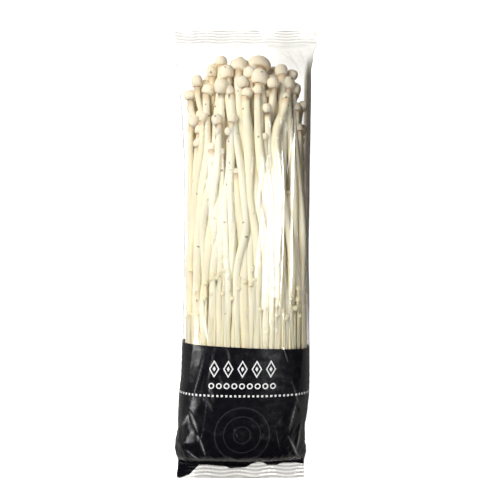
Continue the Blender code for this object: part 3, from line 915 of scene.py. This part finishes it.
def section_points(station, turn):
    """Points (x, y, z) of the smooth bag at stations, at a turn of 0 to 1 round it from the middle of the
    belly.

    Each section is a superellipse whose points are spaced by its arc, closer together on the front.
    """
    left, right, low, high = bag_form(station)
    middle, half_wide = (right - left) / 2, (right + left) / 2 - FILM_INSET
    centre, half_high = (high + low) / 2, (high - low) / 2 - FILM_INSET
    flat = smooth_step((9.5 - station) / 3.0) + smooth_step((station - 180.0) / 4.0)
    power = (2.0 / (BODY_ROUNDNESS + 4.5 * flat))[:, None]
    fine = -math.pi / 2 + np.linspace(0.0, 2 * math.pi, 721)[None]
    x = middle[:, None] + half_wide[:, None] * np.sign(np.cos(fine)) * np.abs(np.cos(fine)) ** power
    z = centre[:, None] + half_high[:, None] * np.sign(np.sin(fine)) * np.abs(np.sin(fine)) ** power
    step = np.hypot(np.diff(x, axis=1), np.diff(z, axis=1))
    walked = np.concatenate([np.zeros((len(station), 1)), np.cumsum(step, axis=1)], axis=1)
    wanted = turn * walked[:, -1:]
    points = np.empty((*turn.shape, 3))
    for row in range(len(station)):
        points[row, :, 0] = np.interp(wanted[row], walked[row], x[row])
        points[row, :, 2] = np.interp(wanted[row], walked[row], z[row])
    points[..., 1] = along(station)[:, None]
    return points, wanted - walked[:, -1:] / 2


def film_grid():
    """The film's points (row, place round it, xyz), and their UV: arc from the middle of the front, and
    station.

    Rows follow both edges of the print, so that each edge runs along the mesh. The film stands off the
    smooth form by its creases: the listed ones on the front, long ridges of noise on the sides, and
    crumples near the seals.
    """
    k = np.arange(AROUND) / AROUND
    turn = k - FRONT_CROWDING / (2 * math.pi) * np.sin(2 * math.pi * (k - 0.5))
    rows = FIN_ROWS + SHOULDER_ROWS + PRINT_ROWS + CLEAR_ROWS + FIN_ROWS
    marks = np.cumsum([0, FIN_ROWS, SHOULDER_ROWS, PRINT_ROWS, CLEAR_ROWS, FIN_ROWS])
    edges = [0.0, BOTTOM_SEAL_TOP, SHOULDER_TOP, PRINT_TOP, TOP_SEAL_START, BAG_LENGTH]
    stations = np.interp(np.arange(rows + 1), marks, edges)
    points, arc = section_points(stations, np.broadcast_to(turn, (rows + 1, AROUND)))
    shift = np.interp(points[..., 0], PRINT_FOOT[:, 0], PRINT_FOOT[:, 1]) - BOTTOM_SEAL_TOP
    fade = np.interp(np.arange(rows + 1), [0, FIN_ROWS, marks[2]], [0.0, 1.0, 0.0])[:, None]
    station = stations[:, None] + shift * fade
    slanted = np.interp(np.arange(rows + 1), marks[2:5], [0.0, 1.0, 0.0])[:, None]
    station = station - PRINT_SLOPE * points[..., 0] * slanted
    low, high = bag_form(station)[2:]
    centre, half_high = (high + low) / 2, (high - low) / 2 - FILM_INSET
    own_low, own_high = bag_form(stations)[2:]
    own_centre = ((own_high + own_low) / 2)[:, None]
    own_half = ((own_high - own_low) / 2)[:, None] - FILM_INSET
    points[..., 1] = along(station)
    points[..., 2] = centre + (points[..., 2] - own_centre) * half_high / own_half
    beside = np.roll(points, -1, axis=1) - np.roll(points, 1, axis=1)
    normal = unit(np.cross(np.gradient(points, axis=0), beside, axis=-1))

    x, front = points[..., 0], smooth_step((points[..., 2] - centre) / 6.0)
    around = np.broadcast_to(k, x.shape)
    sides = smooth_step((np.abs(x) - 13.0) / 8.0)
    body = smooth_step((station - 9.0) / 6.0) * smooth_step((182.0 - station) / 6.0)
    near_foot = smooth_step((36.0 - station) / 24.0)
    near_top = smooth_step((station - 158.0) / 16.0)
    long_ridges = ridged(lattice_noise(around * 44 + 0.05 * station, station / 46.0, 44, 3)) ** 3
    short_ridges = ridged(lattice_noise(around * 30 - 0.12 * station, station / 9.0 + 6 * around, 30, 5)) ** 2
    crumple = ridged(lattice_noise(around * 40 + 0.25 * station, station / 5.0 - 8 * around, 40, 8)) ** 2
    swell = lattice_noise(around * 12, station / 24.0, 12, 13) - 0.5
    height = LONG_RIDGE * long_ridges * (0.35 + 0.65 * sides) + SWELL * swell
    height = height + SHORT_RIDGE * (short_ridges - 0.4) * np.maximum(near_foot, 0.7 * near_top)
    height = height + CRUMPLE * (crumple - 0.4) * np.maximum(near_foot, 0.6 * near_top)
    left_swell, right_swell = [np.interp(station, SIDE_SWELL[:, 0], SIDE_SWELL[:, side]) for side in (1, 2)]
    bulge = smooth_step((-x - 16.0) / 10.0) * left_swell + smooth_step((x - 14.0) / 10.0) * right_swell
    creased = front * crease_height(x, station) * (0.3 + 0.7 * body)
    height = bulge + np.maximum(height, -DEEPEST_DIP) * body + creased
    points = points + normal * height[..., None]

    below, above = BOTTOM_SEAL_TOP - station, station - TOP_SEAL_START
    sealed = smooth_step(below / 0.6 - 1.0) + smooth_step(above / 0.6 - 1.0)
    waver = 0.5 * np.sin(x / 6.0 + 0.6) + 0.35 * np.sin(x / 2.7)
    fin = smooth_step(below / 5.0) + smooth_step(above / 5.0)
    crimp = CRIMP_HEIGHT * np.sin(2 * math.pi * station / CRIMP_PITCH)
    points[..., 2] += sealed * crimp + fin * waver
    points[..., 2] += LOWER_FIN_RISE * np.clip(1.0 - station / BOTTOM_SEAL_TOP, 0.0, 1.0) ** 1.2
    points[..., 2] = np.maximum(points[..., 2], TABLE_GAP)
    uv = np.stack([arc / UV_SPAN + 0.5, station / UV_SPAN], axis=-1)
    return points, uv, marks


def film_mesh():
    """The film as one skin: quads between the rows, a strip across the flat mouth at each end, a punched
    air hole.

    The hole is cut in the back. Quads that lie in its round go, and their neighbours' corners move out to
    the round.
    """
    points, uv, marks = film_grid()
    rows = len(points)
    hole_y = along(AIR_HOLE_STATION)
    dx, dy = points[..., 0], points[..., 1] - hole_y
    away = np.hypot(dx, dy) + 1e-6
    behind = points[..., 2] < AXIS_HEIGHT
    inside = behind & (away < AIR_HOLE_RADIUS)
    row = np.arange(rows - 1)[:, None]
    side = np.arange(AROUND)[None]
    after = (side + 1) % AROUND
    gone = inside[:-1] & inside[1:] & inside[:-1][:, after[0]] & inside[1:][:, after[0]]
    scale = np.where(inside, AIR_HOLE_RADIUS / away, 1.0)
    points[..., 0] = dx * scale
    points[..., 1] = hole_y + dy * scale

    this, above = row * AROUND, (row + 1) * AROUND
    quads = np.stack([this + side, above + side, above + after, this + after], axis=-1)
    half = AROUND // 2
    step = np.arange(half)
    mouth = np.stack([step, (-step) % AROUND, (-step - 1) % AROUND, step + 1], axis=-1)[1 : half - 1]
    top = (rows - 1) * AROUND
    next_uv = np.roll(uv, -1, axis=1)
    around_uv = np.stack([uv[:-1], uv[1:], next_uv[1:], next_uv[:-1]], axis=2)
    around_uv[:, -1, 2:, 0] = 1.0 - uv[:1, :1, 0]
    kept = ~gone
    bottom_mouth, top_mouth = mouth[:, ::-1], top + mouth
    faces = np.concatenate([quads[kept], bottom_mouth, top_mouth])
    flat_uv = uv.reshape(-1, 2)
    mouth_uv = flat_uv[np.concatenate([bottom_mouth, top_mouth]).ravel()]
    corner_uv = np.concatenate([around_uv[kept].reshape(-1, 2), mouth_uv])
    printed = np.zeros((rows - 1, AROUND), dtype=int)
    printed[marks[1] : marks[3]] = 1
    per_face = np.concatenate([printed[kept], np.zeros(2 * len(mouth), dtype=int)])
    return points, faces, corner_uv, per_face


CLEAR_TINT = (0.975, 0.975, 0.97, 1.0)
SEAL_TINT = (0.75, 0.735, 0.71, 1.0)
SIDE_SHADE_TINT = (0.23, 0.20, 0.15, 1.0)
FILM_WHITE = (0.95, 0.95, 0.94, 1.0)


def clear_film():
    """Clear film: it mirrors a little, more at a glance, clouds along its creases, and greys where it is
    sealed. Painted shade darkens what shows through it along its right side."""
    made, add, output = empty_material("clear_film")
    facing = add("ShaderNodeLayerWeight", {"Blend": 0.5}).outputs["Facing"]
    glance = product(add, maths(add, "POWER", facing, 4.0), 0.75)
    crease_haze_and_highlight = stored(add, "crease_haze_and_highlight")
    seal = stored(add, "seal")
    place = add("ShaderNodeTexCoord").outputs["Object"]
    cloud = noise_at(add, place, 90.0, 3.0)
    haze = ranged(add, cloud, 0.4, 0.8, 0.045, 0.09)
    amount = maths(add, "ADD", glance, haze)
    amount = maths(add, "ADD", amount, product(add, crease_haze_and_highlight, 0.42))
    amount = maths(add, "ADD", amount, product(add, seal, 0.12), clamp=True)
    # Painted shade: a dark tint on the film along the right side stands in for the shade there.
    painted_side_shade = stored(add, "painted_side_shade")
    tint = mixed(add, painted_side_shade, mixed(add, seal, CLEAR_TINT, SEAL_TINT), SIDE_SHADE_TINT)
    through = add("ShaderNodeBsdfTransparent", {0: tint})
    crinkle = noise_at(add, place, 420.0, 2.0)
    bump = add("ShaderNodeBump", {"Height": crinkle, "Strength": 0.25, "Distance": 0.0003})
    skin_shader = add(
        "ShaderNodeBsdfPrincipled",
        {"Base Color": FILM_WHITE, "Roughness": 0.12, "Metallic": 0.75, "Normal": bump.outputs[0]},
    )
    both = add("ShaderNodeMixShader", {0: amount, 1: through.outputs[0], 2: skin_shader.outputs[0]})
    made.node_tree.links.new(both.outputs[0], output.inputs[0])
    return made


PRINT_BLACK = (0.004, 0.004, 0.006, 1.0)
PRINT_GREY = (0.022, 0.022, 0.024, 1.0)
PRINT_AND_HIGHLIGHT_WHITE = (0.86, 0.86, 0.85, 1.0)
DOT_STATION = 38.2
DOT_PITCH = 1.8
DOT_HALF = 0.42
# Rows of motifs: middle of the row across, station, pitch and count
LOZENGE_ROW = (1.0, 49.0, 5.7, 5)
LOZENGE_HALVES = (2.1, 3.6)
RING_ROW = (1.0, 42.2, 3.1, 9)
# Radius and half the line's width
SMALL_RING = (0.95, 0.24)
FAINT_RINGS = [(11.0, 0.3), (7.4, 0.22), (3.4, 0.22)]
FAINT_CENTRE = (0.4, 22.5)
FRONT_REACH = 34.0


def black_print():
    """Glossy black print with a white dotted line across it, two rows of plain motifs and faint grey
    rings, and painted highlights along its creases."""
    made, add, output = empty_material("black_print")
    place = add("ShaderNodeTexCoord").outputs["UV"]
    parts = add("ShaderNodeSeparateXYZ", {0: place})
    across = product(add, maths(add, "SUBTRACT", parts.outputs[0], 0.5), UV_SPAN)
    station = product(add, parts.outputs[1], UV_SPAN)

    def cell(origin, pitch):
        """How far a place is across from the middle of its cell in a row with this pitch."""
        moved = maths(add, "DIVIDE", maths(add, "SUBTRACT", across, origin - pitch / 2), pitch)
        part = maths(add, "SUBTRACT", maths(add, "FRACT", moved), 0.5)
        return maths(add, "ABSOLUTE", product(add, part, pitch))

    def off(value, middle):
        """How far a value is from a middle one."""
        return maths(add, "ABSOLUTE", maths(add, "SUBTRACT", value, middle))

    def below(value, limit):
        """1 where a value is less than a limit."""
        return maths(add, "LESS_THAN", value, limit)

    def round_line(beside, above, ring):
        """1 on a ring's line: where the root of beside and above squared is near its radius."""
        squares = [maths(add, "POWER", length, 2.0) for length in (beside, above)]
        return below(off(maths(add, "SQRT", maths(add, "ADD", *squares)), ring[0]), ring[1])

    dots = product(add, below(cell(0.0, DOT_PITCH), DOT_HALF), below(off(station, DOT_STATION), DOT_HALF))
    middle, level, pitch, count = LOZENGE_ROW
    shares = [maths(add, "DIVIDE", length, half)
              for length, half in zip((cell(middle, pitch), off(station, level)), LOZENGE_HALVES)]
    lozenge = maths(add, "ADD", *shares)
    in_row = below(off(across, middle), pitch * count / 2)
    outline = product(add, below(off(lozenge, 0.86), 0.13), in_row)
    heart = product(add, below(lozenge, 0.3), in_row)
    middle, level, pitch, count = RING_ROW
    small = round_line(cell(middle, pitch), off(station, level), SMALL_RING)
    small = product(add, small, below(off(across, middle), pitch * count / 2))
    white = maths(add, "ADD", maths(add, "ADD", dots, outline), maths(add, "ADD", heart, small), clamp=True)
    from_centre = [off(across, FAINT_CENTRE[0]), off(station, FAINT_CENTRE[1])]
    faint = 0.0
    for ring in FAINT_RINGS:
        faint = maths(add, "ADD", round_line(*from_centre, ring), faint)
    faint = product(add, faint, below(off(across, 0.0), FRONT_REACH))
    colour = mixed(add, faint, PRINT_BLACK, PRINT_GREY)
    colour = mixed(add, white, colour, PRINT_AND_HIGHLIGHT_WHITE)
    # Painted highlights: the print whitens along its creases, where their gloss would catch the light.
    crease_haze_and_highlight = stored(add, "crease_haze_and_highlight")
    colour = mixed(add, product(add, maths(add, "POWER", crease_haze_and_highlight, 2.0), 0.45), colour, PRINT_AND_HIGHLIGHT_WHITE)
    spot = add("ShaderNodeTexCoord").outputs["Object"]
    crinkle = noise_at(add, spot, 300.0, 3.0)
    bump = add("ShaderNodeBump", {"Height": crinkle, "Strength": 0.3, "Distance": 0.0004})
    rough = ranged(add, crinkle, 0.35, 0.65, 0.2, 0.32)
    finish = {"Base Color": colour, "Roughness": rough, "Specular IOR Level": 0.24, "Normal": bump.outputs[0]}
    shader = add("ShaderNodeBsdfPrincipled", finish)
    made.node_tree.links.new(shader.outputs[0], output.inputs[0])
    return made


film_points, film_quads, film_uv, film_print = film_mesh()
no_triangles = np.zeros((0, 3), dtype=int)
bag = mesh_piece("film_bag", film_points.reshape(-1, 3), film_quads, no_triangles, film_uv)
bag.data.materials.append(clear_film())
bag.data.materials.append(black_print())
bag.data.polygons.foreach_set("material_index", film_print)
film_station = film_points[..., 1] + BAG_LENGTH / 2
film_x, film_front = film_points[..., 0], smooth_step((film_points[..., 2] - AXIS_HEIGHT) / 6.0)
# The clear film clouds along these creases, and on the print they carry painted highlights.
creased = (crease_height(film_x, film_station) / CREASE_FULL) ** CREASE_SHARPNESS
paint(bag, "crease_haze_and_highlight", np.clip(film_front * creased, 0.0, 1.0))
gathered = 0.6 * smooth_step((film_station - 158.0) / 18.0) * smooth_step((film_x - 2.0) / 16.0)
fins = smooth_step((8.5 - film_station) / 3.0) + smooth_step((film_station - 182.0) / 3.0)
crimped = 0.75 + 0.5 * np.sin(2 * math.pi * (film_station + 0.25 * np.sin(film_x / 2.2)) / CRIMP_PITCH)
paint(bag, "seal", np.maximum(fins * crimped, gathered))
# Painted shade: a dark strip along the film's right side, near its edge, stands in for the shade along the
# pack's right side.
side_shade_reach = np.interp(film_station, BAG_SECTIONS[:, 0], BAG_SECTIONS[:, 2]) - film_x
side_shade_ends = smooth_step((180.0 - film_station) / 10.0) * smooth_step((film_station - 45.0) / 55.0)
side_shade_width = 2.2 + 0.7 * smooth_step((film_station - 110.0) / 30.0)
paint(bag, "painted_side_shade", smooth_step((side_shade_width - side_shade_reach) / 1.2) * side_shade_ends)
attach(bag, "root")
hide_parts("bag")


# The setting. The pack lies on a white table that the exposure burns out. A large soft light on its left
# and a weak one on its right light the flesh. Three more show in the gloss alone: the tall one on the right
# draws the long glare.
FLOOR_GLOW = 0.97
FLOOR_SEEN = (0.9, 0.9, 0.9, 1.0)
FLOOR_DIM = (0.4, 0.39, 0.37, 1.0)
ROOM_LEFT = 0.75
ROOM_RIGHT = 0.45


def floor_white():
    """A white table, burnt out for the eye. What it throws back on the pack is a dimmer white."""
    made, add, output = empty_material("burnt_out_white")
    glow = add("ShaderNodeEmission", {0: (1.0, 1.0, 1.0, 1.0), 1: FLOOR_GLOW})
    white = add("ShaderNodeBsdfDiffuse", {0: FLOOR_SEEN})
    seen = add("ShaderNodeAddShader", {0: white.outputs[0], 1: glow.outputs[0]})
    dim = add("ShaderNodeBsdfDiffuse", {0: FLOOR_DIM})
    eye = add("ShaderNodeLightPath").outputs["Is Camera Ray"]
    both = add("ShaderNodeMixShader", {0: eye, 1: dim.outputs[0], 2: seen.outputs[0]})
    made.node_tree.links.new(both.outputs[0], output.inputs[0])
    return made


FLOOR_HALF = 1500.0
corners = np.array([(-1.0, -1.0, 0.0), (1.0, -1.0, 0.0), (1.0, 1.0, 0.0), (-1.0, 1.0, 0.0)])
floor_uv = corners[:, :2] * 0.5 + 0.5
floor = mesh_piece("table", corners * FLOOR_HALF, np.array([[0, 1, 2, 3]]), no_triangles, floor_uv)
floor.data.materials.append(floor_white())


def area_light(name, place, aim, size, power, diffuse=True, glossy=True):
    """A rectangular light at a place, turned to an aim, both in millimetres, seen by matt or glossy
    finishes."""
    lamp = bpy.data.lights.new(name, "AREA")
    lamp.shape = "RECTANGLE"
    lamp.size, lamp.size_y = size[0] * MM, size[1] * MM
    lamp.energy = power
    light = bpy.data.objects.new(name, lamp)
    light.location = Vector(place) * MM
    light.rotation_euler = (Vector(place) - Vector(aim)).to_track_quat("Z", "Y").to_euler()
    light.visible_diffuse = diffuse
    light.visible_glossy = glossy
    light.visible_camera = False
    bpy.context.scene.collection.objects.link(light)


area_light("key", (-480.0, 320.0, 620.0), (0.0, 20.0, 20.0), (600.0, 600.0), 10.0, glossy=False)
area_light("fill", (380.0, -260.0, 260.0), (22.0, -20.0, 20.0), (300.0, 300.0), 1.0, glossy=False)
area_light("glare", (298.0, 60.0, 520.0), (12.0, 10.0, 38.0), (190.0, 420.0), 3.6, diffuse=False)
area_light("sheen", (-330.0, 80.0, 560.0), (-10.0, 10.0, 38.0), (120.0, 500.0), 0.8, diffuse=False)
area_light("side_glint", (-620.0, -160.0, 260.0), (-20.0, -60.0, 20.0), (160.0, 160.0), 1.6, diffuse=False)

world = bpy.data.worlds.new("room")
world.use_nodes = True
add = node_maker(world.node_tree)
sky = world.node_tree.nodes["Background"]
direction = add("ShaderNodeSeparateXYZ", {0: add("ShaderNodeTexCoord").outputs["Generated"]})
shade = ranged(add, direction.outputs[0], -0.6, 0.8, ROOM_LEFT, ROOM_RIGHT)
straight = add("ShaderNodeLightPath").outputs["Is Camera Ray"]
world.node_tree.links.new(maths(add, "MAXIMUM", shade, straight), sky.inputs["Strength"])
bpy.context.scene.world = world
bpy.context.scene.view_settings.view_transform = "Standard"
